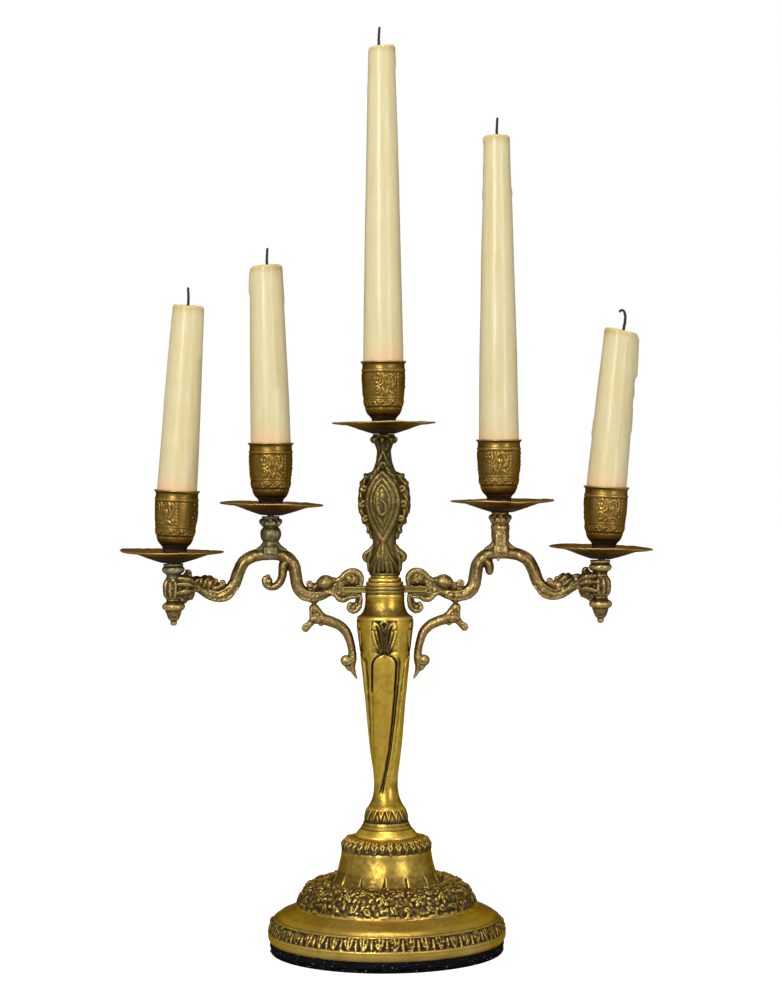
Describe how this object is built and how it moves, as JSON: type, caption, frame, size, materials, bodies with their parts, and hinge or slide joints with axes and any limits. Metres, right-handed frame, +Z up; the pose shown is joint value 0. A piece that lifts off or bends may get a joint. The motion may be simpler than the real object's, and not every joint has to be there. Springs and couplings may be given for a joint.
{
  "type": "candelabrum",
  "caption": "Ornate brass candelabrum: round bell base, baluster stem, scrolled side branches, drip pans, cups and burnt-down candles.",
  "frame": {"origin": "Centre of the felt pad's resting face, on the axis of the base.", "axes": "+Z up along the stem, +X to the right along the branches seen from the front, +Y to the back."},
  "size_m": [0.3036, 0.1356, 0.5248],
  "materials": {
    "brass": "aged, golden on the high spots and dark in the recesses",
    "bronze": "brown patina with worn ridges and traces of verdigris",
    "steel": "dull",
    "wax": "cream wax with a soft gloss",
    "wick": "charred cotton cord",
    "felt": "black felt with pale lint",
    "board": "black stained disc"
  },
  "bodies": {
    "column": {"felt_pad": "felt", "base_board": "board", "base_shell": "brass", "base_washer": "steel", "base_nut": "steel", "tie_rod": "steel", "stem": "brass", "step_collar": "brass", "upper_baluster": "brass", "centre_pan": "brass", "centre_cup": "brass", "centre_cup_nut": "steel"},
    "branch": {"branch_ring": "brass", "left_arm": "bronze", "right_arm": "bronze", "left_bracket": "bronze", "right_bracket": "bronze", "bracket_pins": "bronze", "saddle_rivets": "bronze", "left_inner_post": "bronze", "right_inner_post": "bronze", "left_outer_collar": "brass", "right_outer_collar": "brass", "left_drop_finial": "bronze", "right_drop_finial": "bronze", "cup_screws": "steel", "left_outer_pan": "brass", "left_outer_cup": "brass", "left_inner_pan": "brass", "left_inner_cup": "brass", "right_inner_pan": "brass", "right_inner_cup": "brass", "right_outer_pan": "brass", "right_outer_cup": "brass"},
    "left_outer_light": {"left_outer_candle": "wax", "left_outer_wick": "wick"},
    "left_inner_light": {"left_inner_candle": "wax", "left_inner_wick": "wick"},
    "centre_light": {"centre_candle": "wax", "centre_wick": "wick"},
    "right_inner_light": {"right_inner_candle": "wax", "right_inner_wick": "wick"},
    "right_outer_light": {"right_outer_candle": "wax", "right_outer_wick": "wick"}
  },
  "joints": [
    {"name": "branch_swivel", "type": "hinge", "parent": "column", "child": "branch", "pos_m": [0, 0, 0.2058], "axis": [0, 0, 1], "continuous": true},
    {"name": "left_outer_candle_lift", "type": "slide", "parent": "branch", "child": "left_outer_light", "axis": [0.068, 0, 0.9977], "range_m": [0, 0.05]},
    {"name": "left_inner_candle_lift", "type": "slide", "parent": "branch", "child": "left_inner_light", "axis": [-0.0209, 0, 0.9998], "range_m": [0, 0.05]},
    {"name": "centre_candle_lift", "type": "slide", "parent": "column", "child": "centre_light", "axis": [0, 0, 1], "range_m": [0, 0.05]},
    {"name": "right_inner_candle_lift", "type": "slide", "parent": "branch", "child": "right_inner_light", "axis": [-0.0017, 0, 1], "range_m": [0, 0.05]},
    {"name": "right_outer_candle_lift", "type": "slide", "parent": "branch", "child": "right_outer_light", "axis": [0.0993, 0, 0.9951], "range_m": [0, 0.05]}
  ]
}
